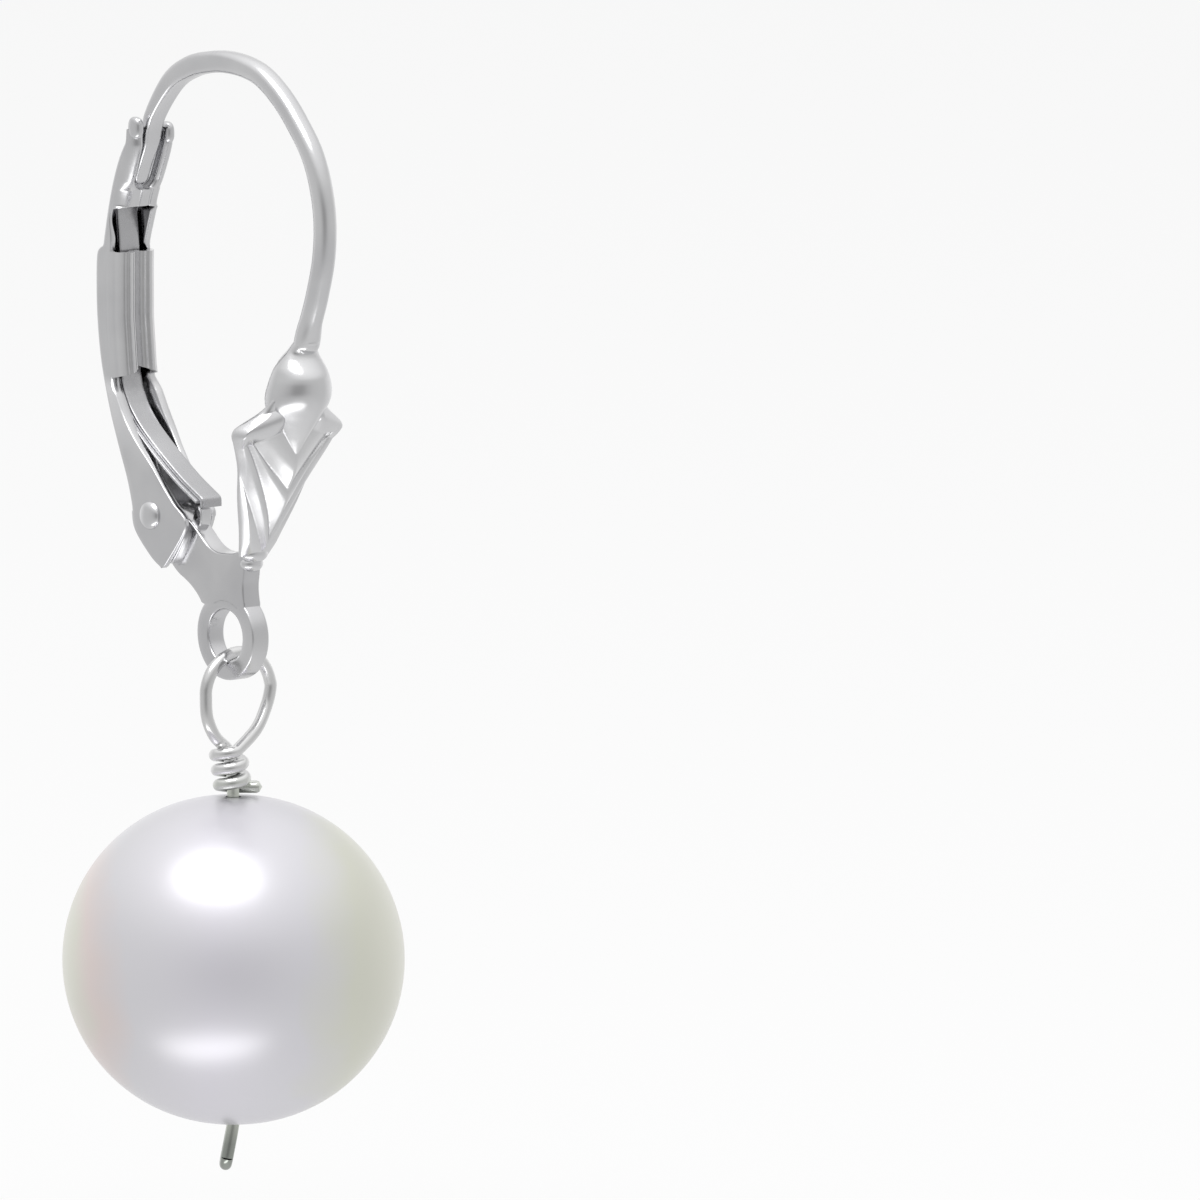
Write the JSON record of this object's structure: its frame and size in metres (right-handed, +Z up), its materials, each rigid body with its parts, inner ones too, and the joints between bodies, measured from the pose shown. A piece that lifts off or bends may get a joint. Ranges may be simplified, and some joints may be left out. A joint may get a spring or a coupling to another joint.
{
  "type": "leverback earring",
  "caption": "Leverback earring: an ear wire with a hinged lever that shuts on its tip, a small shield in front, and a round pearl that hangs from its ring on a wrapped wire loop.",
  "frame": {"origin": "the underside of the ear wire's crown, where it hangs in the ear", "axes": "+Z up, -Y to the front, where the shield faces, +X to the wearer's left as seen from the front right"},
  "size_m": [0.01, 0.0103, 0.033],
  "materials": {
    "polished_silver": "polished",
    "lever_silver": "polished",
    "spring_silver": "satin",
    "rivet_silver": "polished",
    "drawn_silver_wire": "polished",
    "white_pearl": "gloss"
  },
  "bodies": {
    "hook": {"ear_hook": "polished_silver"},
    "lever": {"lever": "lever_silver", "spring_leaf": "spring_silver", "hinge_rivet": "rivet_silver"},
    "drop": {"drop_wire": "drawn_silver_wire"},
    "pearl": {"pearl": "white_pearl"}
  },
  "joints": [
    {"name": "lever_hinge", "type": "hinge", "parent": "hook", "child": "lever", "pos_m": [0, 0.00294, -0.01328], "axis": [-1, 0, 0], "range_deg": [0, 60]},
    {"name": "drop_swing", "type": "hinge", "parent": "hook", "child": "drop", "pos_m": [0, 0, -0.01708], "axis": [1, 0, 0], "range_deg": [-75, 75]},
    {"name": "pearl_turn", "type": "hinge", "parent": "drop", "child": "pearl", "pos_m": [0, 0, -0.0261], "axis": [0, 0, 1], "continuous": true}
  ]
}
